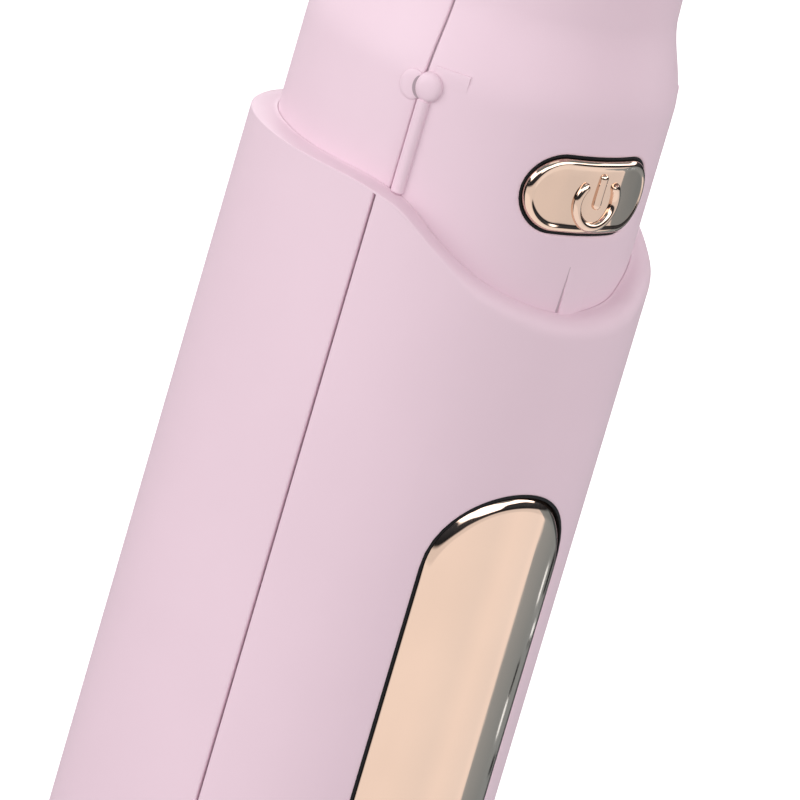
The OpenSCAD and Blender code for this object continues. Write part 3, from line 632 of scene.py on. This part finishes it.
def eased_roll(inset0, width, top, tilt, reach, n=20):
    """Steps of a roll whose tilt falls evenly from its outer side to the flat. reach is its width at the arches."""
    steps, r = [(inset0 + width, top)], top
    for k in range(n - 1, -1, -1):
        r -= math.tan(rad(tilt * (1 - (k + 0.5) / n))) * reach / n
        steps.append((inset0 + width * k / n, r))
    return steps[::-1]


def arch_width(x, z):
    over = max(0.0, z - arch_top, arch_low - z) / INLAY_ARCH
    return 1.0 + 1.3 * min(1.0, 1.6 * over)


pad("inlay", inlay_guide, inlay_point,
    [(0.32, R0 - 0.75), (0.32, R0 - 0.60)] + eased_roll(0.32, 0.62, R0 + INLAY_PROUD, 50, 1.42),
    R0 + INLAY_PROUD, gold, "handle_body", (0.985, 0.95, 0.9, 0.8, 0.65, 0.5, 0.35, 0.2, 0.1, 0.0),
    ("inlay_panel",), widen=arch_width)
# Near-black band deep in the gap round the inlay: painted shade of the gap.
pad("inlay_gap_shade", inlay_guide, inlay_point,
    [(-0.01, R0 - 0.78), (-0.01, R0 - 0.10), (0.30, R0 - 0.10), (0.30, R0 - 0.78)],
    R0 - 0.78, painted_gap_shade, "handle_body", (0.5, 0.0))

# ---------------------------------------------------------------- collar
def collar_shell(name, start, end, node, window):
    per = math.degrees(1 / COLLAR_R)
    skin = Skin(collar_outer, lambda z: collar_outer(z) - COLLAR_WALL)
    z_low, z_high = 111.2, 122.4
    if window:
        g = -0.08
        t_edge = math.degrees(math.asin(9.8 / COLLAR_R))
        steps = [(0.4, g - 0.45, 0.0), (0.75, g - 0.45, 0.0), (None, g - 0.45, 0.0), (None, g - 0.26, -0.01),
                 (None, g - 0.14, -0.04), (None, g - 0.06, -0.10), (None, g - 0.01, -0.19), (None, g, -0.32),
                 (None, g - 0.30, -0.50)]
        holes = [(0, -t_edge, t_edge, z_low, z_high, button_point, steps)]
    else:
        near, far = (math.degrees(math.asin(u / collar_outer(SCREW_Z))) for u in (1.0, 5.0))
        holes = [(90, 90 - far, 90 + near, SCREW_Z - 3, SCREW_Z + 3,
                  hole_outline(SCREW_Y, SCREW_Z, SCREW_R), HOLE_EDGE),
                 (270, 270 - near, 270 + far, SCREW_Z - 3, SCREW_Z + 3,
                  hole_outline(-SCREW_Y, SCREW_Z, SCREW_R), HOLE_EDGE)]
    thetas = shell_columns(start, end, 2.5, COLLAR_R, [edge for hole in holes for edge in hole[1:3]])
    zs = lines([(COLLAR_Z0, z_low, 2.2), (z_low, z_high, 1.0), (z_high, SHOULDER_Z, 0.8),
                (SHOULDER_Z, SHOULDER_Z + SHOULDER_H, 0.4), (SHOULDER_Z + SHOULDER_H, SCREW_Z - 3, 2.4),
                (SCREW_Z - 3, SCREW_Z + 3, 0.5), (SCREW_Z + 3, NECK_TOP_Z - 0.4, 2.4),
                (NECK_TOP_Z - 0.4, NECK_TOP_Z, 0.1)])

    def relief(t, z):
        top = NECK_TOP_Z - z
        return edge_drop(min(t - start, end - t) / per) + (edge_drop(top) if top < 0.34 else 0.0)

    table = skin.grid(thetas, lambda t: zs, relief, in_holes(holes))
    for hole in holes:
        cut_hole(skin, table, thetas, zs, hole)
    verts, faces = skin.close()
    return make(name, verts, faces, pink, replaces=(node,))


collar_seam = seam_deg(COLLAR_PART_Y, COLLAR_R)
collar_gap = math.degrees(SEAM_HALF / COLLAR_R / math.sin(rad(collar_seam)))
collar_shell("collar_front", -collar_seam + collar_gap, collar_seam - collar_gap, "collar_front_shell", True)
collar_shell("collar_back", collar_seam + collar_gap, 360 - collar_seam - collar_gap, "collar_back_shell", False)


def collar_lap(side, tag):
    """Strip that closes the collar's seam a little below the surface, along its whole height."""
    verts, faces = [], []
    zs = lines([(COLLAR_Z0, SHOULDER_Z, 5.0), (SHOULDER_Z, SHOULDER_Z + SHOULDER_H, 0.8),
                (SHOULDER_Z + SHOULDER_H, 171.0, 5.0)])
    for z in zs:
        r = collar_outer(z) - COLLAR_WALL
        for t, dr in ((-0.36, -0.3), (0.36, -0.3), (0.36, 1.5), (0, 1.5), (-0.36, 1.5)):
            verts.append(polar(side * collar_seam + t, r + dr, z))
    for i in range(len(zs) - 1):
        for k in range(5):
            a, b = 5 * i, 5 * (i + 1)
            faces.append((a + k, a + (k + 1) % 5, b + (k + 1) % 5, b + k))
    faces += [(4, 3, 2, 1, 0), tuple(5 * (len(zs) - 1) + k for k in range(5))]
    # The strip's darker pink is painted shade in the collar's seam.
    make("collar_lap_" + tag, verts, faces, painted_seam_shade)


def dome(name, deg, z, radius, base_r, height):
    """A low round dome that stands on the collar, with its foot sunk into it."""
    out = Vector(polar(deg, 1, 0))
    side = Vector((0, 0, 1)).cross(out)
    centre = Vector(polar(deg, base_r, z))
    profile = [(1.0, -0.6), (1.0, 0.10), (0.98, 0.32), (0.92, 0.53), (0.82, 0.71), (0.66, 0.85), (0.45, 0.945),
               (0.22, 0.988)]
    n, verts, faces = 48, [], []
    for share, up in profile:
        h = up * height if up > 0 else up
        for k in range(n):
            c = 2 * math.pi * k / n
            across = side * (BOSS_OVAL[0] * math.cos(c)) + Vector((0, 0, BOSS_OVAL[1])) * math.sin(c)
            verts.append(tuple(centre + out * h + across * (radius * share)))
    for ring in range(len(profile) - 1):
        for k in range(n):
            a, b = ring * n + k, ring * n + (k + 1) % n
            faces.append((a, b, b + n, a + n))
    last = (len(profile) - 1) * n
    verts.append(tuple(centre + out * height))
    faces += [(last + k, last + (k + 1) % n, len(verts) - 1) for k in range(n)]
    faces.append(tuple(range(n - 1, -1, -1)))
    return make(name, verts, faces, pink, sharp=50)


def boss_gap_arc(side, tag):
    """Painted shade of the open gap between the boss and its seat: a thin dark crescent."""
    out = Vector(polar(side * BOSS_DEG, 1, 0))
    along = Vector((0, 0, 1)).cross(out) * side
    centre = Vector(polar(side * BOSS_DEG, COLLAR_R, BOSS_Z))
    verts, faces, angles = [], [], lines([(-62, 30, 2)])
    for i, a in enumerate(angles):
        wide = 0.02 + 0.28 * math.sin(math.pi * i / (len(angles) - 1)) ** 0.7
        for radius in (BOSS_R - 0.1, BOSS_R + 0.03 + wide):
            across = along * (BOSS_OVAL[0] * math.cos(rad(a))) + Vector((0, 0, BOSS_OVAL[1])) * math.sin(rad(a))
            p = centre + across * radius
            r = math.hypot(p.x, p.y)
            for level in (COLLAR_R - 0.1, COLLAR_R + 0.215):
                verts.append((p.x * level / r, p.y * level / r, p.z))
    for i in range(len(angles) - 1):
        a, b = 4 * i, 4 * (i + 1)
        for k, m in ((0, 1), (1, 3), (3, 2), (2, 0)):
            faces.append((a + k, a + m, b + m, b + k))
    faces += [(0, 2, 3, 1), tuple(4 * (len(angles) - 1) + k for k in (0, 1, 3, 2))]
    make("boss_gap_" + tag, verts, faces, painted_seam_shade)


def ledge_patch(side, tag):
    """A low step: full height at its upper and outer edges, run out towards the boss and downwards."""
    zs = [124.2, 124.6, 125.0, 125.4, 125.8, 126.0, 126.07, 126.10, 126.11]
    angles = lines([(50.0, 50.2, 0.05), (50.2, 51.0, 0.2), (51.0, 61.0, 1.0)])
    verts, faces = [], []
    for a in angles:
        for z in zs:
            up = max(0.0, min(1.0, (z - 124.2) / 1.6))
            h = 0.15 * up * up * (3 - 2 * up)
            if z > 126.0:
                h *= math.sqrt(max(0.0, 1 - ((z - 126.0) / 0.11) ** 2))
            h *= min(1.0, math.sqrt(max(0.0, (a - 50.0) / 0.2)))
            verts.append(polar(side * a, collar_outer(z) + h - 0.01, z))
            verts.append(polar(side * a, collar_outer(z) - 0.2, z))
    m = 2 * len(zs)
    for i in range(len(angles) - 1):
        for k in range(len(zs) - 1):
            a, b = i * m + 2 * k, (i + 1) * m + 2 * k
            faces += [(a, b, b + 2, a + 2), (a + 1, a + 3, b + 3, b + 1)]
        a, b = i * m, (i + 1) * m
        faces += [(a, a + 1, b + 1, b), (a + m - 2, b + m - 2, b + m - 1, a + m - 1)]
    for i in (0, len(angles) - 1):
        for k in range(len(zs) - 1):
            a = i * m + 2 * k
            faces.append((a, a + 2, a + 3, a + 1))
    make("seam_ledge_" + tag, verts, faces, pink, sharp=50)


for side, tag in ((-1, "left"), (1, "right")):
    collar_lap(side, tag)
    dome("seam_boss_" + tag, side * BOSS_DEG, BOSS_Z, BOSS_R, COLLAR_R, 0.72)
    dome("boss_seat_" + tag, side * SEAT_DEG, BOSS_Z - 0.3, BOSS_R, COLLAR_R, 0.2)
    top = [polar(side * BAR_DEG, COLLAR_R, z) for z in lines([(crest_z(side * BAR_DEG) - 0.5, BOSS_Z - 0.85, 0.6)])]
    tube("seam_bar_" + tag, top, BAR_R, pink, "handle_body")
    boss_gap_arc(side, tag)
    ledge_patch(side, tag)


def front_rib():
    """A low rib: a crisp left edge that grows downwards, and a back that runs out to the right. Beside its left edge, a
    thin darker strip that widens downwards: painted shade.
    """
    left = math.degrees((RIB_X - RIB_W / 2) / COLLAR_R)
    width = math.degrees(RIB_W / COLLAR_R)
    low = min(crest_z(left), crest_z(left + width)) - 0.2
    cols = [(0.0, -0.15), (0.0, 0.55), (0.012, 0.8), (0.03, 0.93), (0.06, 1.0), (0.25, 0.97), (0.45, 0.85), (0.65, 0.6),
            (0.85, 0.25), (1.0, 0.0), (1.0, -0.15)]
    zs = lines([(low, RIB_TOP, 0.3)])
    verts, faces = [], []
    for z in zs:
        grow = max(0.0, min(1.0, (RIB_TOP - z) / (RIB_TOP - low)))
        h = RIB_PROUD * grow ** 0.8
        for w, share in cols:
            verts.append(polar(left + width * w, COLLAR_R + (h * share if share >= 0 else share) - 0.004, z))
    m = len(cols)
    for i in range(len(zs) - 1):
        for k in range(m):
            a, b = i * m, (i + 1) * m
            faces.append((a + k, a + (k + 1) % m, b + (k + 1) % m, b + k))
    faces += [tuple(range(m - 1, -1, -1)), tuple((len(zs) - 1) * m + k for k in range(m))]
    make("front_rib", verts, faces, pink, sharp=50)
    # Thin strip of darker pink along the rib's left edge: painted shade of a groove.
    verts, faces = [], []
    for z in zs:
        grow = max(0.0, min(1.0, (RIB_TOP - z) / (RIB_TOP - low)))
        wide = math.degrees(0.06 + 0.24 * grow) / COLLAR_R
        verts += [polar(left - wide, COLLAR_R + 0.012, z), polar(left + 0.05, COLLAR_R + 0.012, z),
                  polar(left + 0.05, COLLAR_R - 0.15, z), polar(left - wide, COLLAR_R - 0.15, z)]
    for i in range(len(zs) - 1):
        for k in range(4):
            a, b = 4 * i, 4 * (i + 1)
            faces.append((a + k, a + (k + 1) % 4, b + (k + 1) % 4, b + k))
    faces += [(3, 2, 1, 0), tuple(4 * (len(zs) - 1) + k for k in range(4))]
    make("front_rib_painted_shade", verts, faces, painted_rib_shade)


front_rib()

# ---------------------------------------------------------------- power button
button_guide = []
c, r = BUTTON_W / 2 - BUTTON_H / 2, BUTTON_H / 2
button_guide += [(c + r * math.cos(rad(a)), BUTTON_Z + r * math.sin(rad(a))) for a in lines([(-90, 90, 4)])]
button_guide += [(x, BUTTON_Z + r) for x in lines([(-c, c, 0.8)])[-2:0:-1]]
button_guide += [(-c - r * math.cos(rad(a)), BUTTON_Z + r * math.sin(rad(a))) for a in lines([(-90, 90, 4)])[::-1]]
button_guide += [(x, BUTTON_Z - r) for x in lines([(-c, c, 0.8)])[1:-1]]
R1 = BUTTON_R
KEY_IN = 0.25
pad("power_key", button_guide, button_point,
    [(0.95, R1 - 1.6), (0.95, R1 - 0.72), (KEY_IN, R1 - 0.72), (KEY_IN, R1 - 0.55)]
    + rolled(KEY_IN, R1 - 0.50, 0.50, 0.47)
    + [(KEY_IN + way, R1 - drop) for way, drop in ((0.60, 0.05), (0.70, 0.10), (0.80, 0.13), (0.92, 0.145))],
    R1 - 0.145, key_gold, "button", (0.96, 0.9, 0.8, 0.68, 0.55, 0.42, 0.3, 0.18, 0.08, 0.0),
    ("power_button",), dish=0.10)
# Near-black ring deep in the gap round the key: painted shade of the gap.
pad("button_gap_shade", button_guide, button_point,
    [(-0.10, R1 - 2.8), (-0.10, R1 - 0.62), (0.20, R1 - 0.62), (0.20, R1 - 2.6)],
    R1 - 2.6, painted_gap_shade, "handle_body", (0.5, 0.0))

SYM_X, SYM_Z, SYM_R, SYM_GAP = 0.3, 116.35, 2.52, 42
FACE_R = R1 - 0.23
ring = [(SYM_X + SYM_R * math.sin(rad(a)), SYM_Z + SYM_R * math.cos(rad(a)))
        for a in lines([(SYM_GAP, 360 - SYM_GAP, 5)])]
tube("power_ring", [on_cylinder(x, z, FACE_R) for x, z in ring], 0.52, key_gold, "button", squash=0.9)
stem = [on_cylinder(SYM_X, z, FACE_R) for z in lines([(SYM_Z - 0.75, SYM_Z + 3.0, 0.15)])]
tube("power_bar", stem, 0.48, key_gold, "button", squash=0.9)

# ---------------------------------------------------------------- stage
def plain_material(name, color, emission=0.0):
    m = Mat(name).set(Roughness=0.7, Specular_IOR_Level=0.1)
    m.color(m.ramp(m.noise(3.0), [(0.3, tone(color, 0.99)), (0.7, color)]))
    if emission:
        m.b.inputs["Emission Color"].default_value = (*color, 1)
        m.b.inputs["Emission Strength"].default_value = emission
    return m.m


def card(name, centre, size, facing, material):
    w, h = size
    me = bpy.data.meshes.new(name)
    me.from_pydata([(-w / 2, -h / 2, 0), (w / 2, -h / 2, 0), (w / 2, h / 2, 0), (-w / 2, h / 2, 0)], [], [(0, 1, 2, 3)])
    me.materials.append(material)
    ob = bpy.data.objects.new(name, me)
    bpy.context.scene.collection.objects.link(ob)
    ob.location = centre
    ob.rotation_euler = (Vector(facing) - Vector(centre)).to_track_quat("Z", "Y").to_euler()
    return ob


floor = card("floor", (0, 0, 0), (60, 60), (0, 0, 1), plain_material("floor", (0.93, 0.93, 0.93), 0.55))
floor.visible_diffuse = False


def glow(name, color, strength):
    m = bpy.data.materials.new(name)
    m.use_nodes = True
    t = m.node_tree
    t.nodes.clear()
    e = t.nodes.new("ShaderNodeEmission")
    e.inputs["Color"].default_value = (*color, 1)
    e.inputs["Strength"].default_value = strength
    t.links.new(e.outputs[0], t.nodes.new("ShaderNodeOutputMaterial").inputs["Surface"])
    return m


def only_in_reflections(ob):
    ob.visible_camera = False
    ob.visible_diffuse = False
    ob.visible_shadow = False
    ob.visible_transmission = False
    return ob


AIM = Vector((0, 0, 0.1))   # point that the lights and the camera's distance refer to


def at(azimuth, elevation, distance):
    a, e = rad(azimuth), rad(elevation)
    return (distance * math.sin(a) * math.cos(e), -distance * math.cos(a) * math.cos(e), AIM.z + distance * math.sin(e))


def sweep_material():
    """Glow of the round card: tones by direction low down, and light and dark bands further up."""
    m = bpy.data.materials.new("sweep")
    m.use_nodes = True
    t = m.node_tree
    t.nodes.clear()
    split = t.nodes.new("ShaderNodeSeparateXYZ")
    t.links.new(t.nodes.new("ShaderNodeTexCoord").outputs["Object"], split.inputs[0])

    def math_node(kind, a, b):
        n = t.nodes.new("ShaderNodeMath")
        n.operation = kind
        for slot, v in zip(n.inputs, (a, b)):
            if isinstance(v, float):
                slot.default_value = v
            else:
                t.links.new(v, slot)
        return n.outputs[0]

    def ramp(value, stops, kind="LINEAR"):
        n = t.nodes.new("ShaderNodeValToRGB")
        n.color_ramp.interpolation = kind
        els = n.color_ramp.elements
        els[0].position, els[0].color = stops[0][0], (*stops[0][1], 1)
        els[1].position, els[1].color = stops[-1][0], (*stops[-1][1], 1)
        for pos, col in stops[1:-1]:
            els.new(pos).color = (*col, 1)
        t.links.new(value, n.inputs["Fac"])
        return n.outputs["Color"]

    back = math_node("MULTIPLY", split.outputs["Y"], -1.0)
    azimuth = math_node("ARCTAN2", split.outputs["X"], back)
    turn = math_node("ADD", math_node("DIVIDE", azimuth, 2 * math.pi), 0.5)
    height = math_node("DIVIDE", split.outputs["Z"], SWEEP_TOP)

    def d(deg):
        return 0.5 + deg / 360

    def dashes(base, turn, z):
        """Short light and dark strokes in two narrow bands."""
        for lo, hi, strokes in DASHES:
            stops = [(0.0, GREY)]
            for start, end, tone_ in strokes:
                stops += [(start / 40, tone_), (end / 40, GREY)]
            n = ramp(math_node("DIVIDE", z, 0.040), stops + [(1.0, GREY)], "CONSTANT")
            inside = math_node("MULTIPLY", math_node("GREATER_THAN", turn, d(lo)), math_node("LESS_THAN", turn, d(hi)))
            pick = t.nodes.new("ShaderNodeMix")
            pick.data_type = "RGBA"
            t.links.new(inside, pick.inputs["Factor"])
            t.links.new(base, pick.inputs[6])
            t.links.new(n, pick.inputs[7])
            base = pick.outputs[2]
        return base

    low = ramp(turn, [(0.0, DARK), (d(-86), DARK), (d(-78), PALE),
                      (d(10), PALE), (d(28), SOFT), (d(40), PALE), (d(55), SOFT), (d(59), PALE), (d(60.6), PALE),
                      (d(61.4), MIST),
                      (d(76), GREY), (d(84.8), GREY), (d(86.5), DIM), (d(100), DIM), (d(150), DARK), (1.0, DARK)])
    low = dashes(low, turn, split.outputs["Z"])
    patchy = t.nodes.new("ShaderNodeTexNoise")
    patchy.inputs["Scale"].default_value = 10.0
    patchy.inputs["Detail"].default_value = 0.0
    t.links.new(t.nodes.new("ShaderNodeTexCoord").outputs["Object"], patchy.inputs["Vector"])
    uneven = math_node("ADD", height, math_node("MULTIPLY", math_node("SUBTRACT", patchy.outputs["Fac"], 0.5), 0.40))
    high = ramp(uneven, [(0.0, DARK), (0.38, DARK), (0.41, WHITE), (0.55, WHITE), (0.59, DIM), (1.0, DIM)])
    step = t.nodes.new("ShaderNodeMapRange")
    step.inputs["From Min"].default_value = 0.092
    step.inputs["From Max"].default_value = 0.104
    t.links.new(split.outputs["Z"], step.inputs["Value"])
    mix = t.nodes.new("ShaderNodeMix")
    mix.data_type = "RGBA"
    t.links.new(step.outputs["Result"], mix.inputs["Factor"])
    t.links.new(low, mix.inputs[6])
    t.links.new(high, mix.inputs[7])
    e = t.nodes.new("ShaderNodeEmission")
    level = ramp(height, [(at_height, (v,) * 3) for at_height, v in LEVELS])
    t.links.new(math_node("MULTIPLY", level, 4.0), e.inputs["Strength"])
    t.links.new(mix.outputs[2], e.inputs["Color"])
    t.links.new(e.outputs[0], t.nodes.new("ShaderNodeOutputMaterial").inputs["Surface"])
    return m


DARK, GREY, MIST = (0.015, 0.018, 0.022), (0.25, 0.32, 0.36), (0.33, 0.41, 0.46)
DIM, GLINT = (0.07, 0.09, 0.10), (1.05, 1.30, 1.45)
# band's edges by direction in degrees, then its strokes: from and to in mm above the floor, and the tone
DASHES = ((77.2, 79.2, ((11.2, 15.8, GLINT), (15.9, 20.6, DARK), (27.6, 31.9, GLINT))),
          (81.6, 84.4, ((6.0, 8.5, DARK), (22.0, 23.0, DARK), (23.1, 24.8, GLINT), (28.4, 34.2, DARK))))
SOFT, PALE, WHITE = (0.94, 0.955, 0.965), (1.0, 1.0, 1.0), (1.0, 1.0, 1.0)
# radius and top of the round card in metres, and its brightness by share of that height
SWEEP_R, SWEEP_TOP = 0.17, 0.40
LEVELS = ((0.0, 0.31), (0.13, 0.31), (0.165, 0.255), (0.26, 0.255), (0.36, 0.85), (1.0, 0.85))


def sweep(radius, z0, z1, n=72):
    """An open round wall and a ring on the floor, seen only in reflections."""
    verts, faces = [], []
    for i in range(n):
        for r, z in ((radius, z1), (radius, z0), (0.03, z0)):
            verts.append(tuple(v * MM for v in polar(i * 360 / n, r / MM, z / MM)))
    for i in range(n):
        a, b = 3 * i, 3 * ((i + 1) % n)
        faces += [(a, a + 1, b + 1, b), (a + 1, a + 2, b + 2, b + 1)]
    me = bpy.data.meshes.new("sweep")
    me.from_pydata(verts, [], faces)
    me.materials.append(sweep_material())
    ob = bpy.data.objects.new("sweep", me)
    bpy.context.scene.collection.objects.link(ob)
    return only_in_reflections(ob)


sweep(SWEEP_R, 0.001, SWEEP_TOP)


def area(name, azimuth, elevation, distance, size, power):
    data = bpy.data.lights.new(name, "AREA")
    data.shape = "RECTANGLE"
    data.size, data.size_y = size
    data.energy = power
    ob = bpy.data.objects.new(name, data)
    bpy.context.scene.collection.objects.link(ob)
    ob.location = at(azimuth, elevation, distance)
    ob.rotation_euler = (AIM - ob.location).to_track_quat("-Z", "Y").to_euler()
    ob.visible_camera = False
    return ob


area("key", -102, 15, 1.5, (1.0, 1.0), 13.6)
area("front", -8, 18, 1.5, (1.0, 1.0), 7.2)
area("fill", 68, 10, 1.5, (1.0, 1.0), 5.3)
area("top", -40, 80, 1.6, (1.0, 1.0), 2.4)
area("left", -155, 20, 1.5, (1.0, 1.0), 3.6)
area("rim", 150, 25, 1.6, (0.9, 1.2), 3.0)

world = bpy.data.worlds.new("studio")
bpy.context.scene.world = world
world.use_nodes = True
world.node_tree.nodes["Background"].inputs["Color"].default_value = (1, 1, 1, 1)
world.node_tree.nodes["Background"].inputs["Strength"].default_value = 0.45
bpy.context.scene.view_settings.view_transform = "Standard"

# ---------------------------------------------------------------- camera, fitted to the photograph's view
AZ, EL, ROLL, DIST, FOCAL_PX, PX, PY = -46.19, 15.22, 16.47, 1.10093, 11351.43, 422.97, 287.36
back = Vector((math.sin(rad(AZ)) * math.cos(rad(EL)), -math.cos(rad(AZ)) * math.cos(rad(EL)), math.sin(rad(EL))))
level = Vector((math.cos(rad(AZ)), math.sin(rad(AZ)), 0))
rise = back.cross(level)
right = level * math.cos(rad(ROLL)) + rise * math.sin(rad(ROLL))
up = rise * math.cos(rad(ROLL)) - level * math.sin(rad(ROLL))
eye = AIM + back * DIST
look = (-back + right * ((400 - PX) / FOCAL_PX) - up * ((400 - PY) / FOCAL_PX)).normalized()
right = (right - look * right.dot(look)).normalized()
up = right.cross(look)
cam_data = bpy.data.cameras.new("camera")
cam_data.sensor_width = 36.0
cam_data.lens = FOCAL_PX / 800 * 36
cam_data.clip_start, cam_data.clip_end = 0.05, 100
cam = bpy.data.objects.new("camera", cam_data)
bpy.context.scene.collection.objects.link(cam)
cam.matrix_world = Matrix((
    (right.x, up.x, -look.x, eye.x),
    (right.y, up.y, -look.y, eye.y),
    (right.z, up.z, -look.z, eye.z),
    (0, 0, 0, 1)))
bpy.context.scene.camera = cam
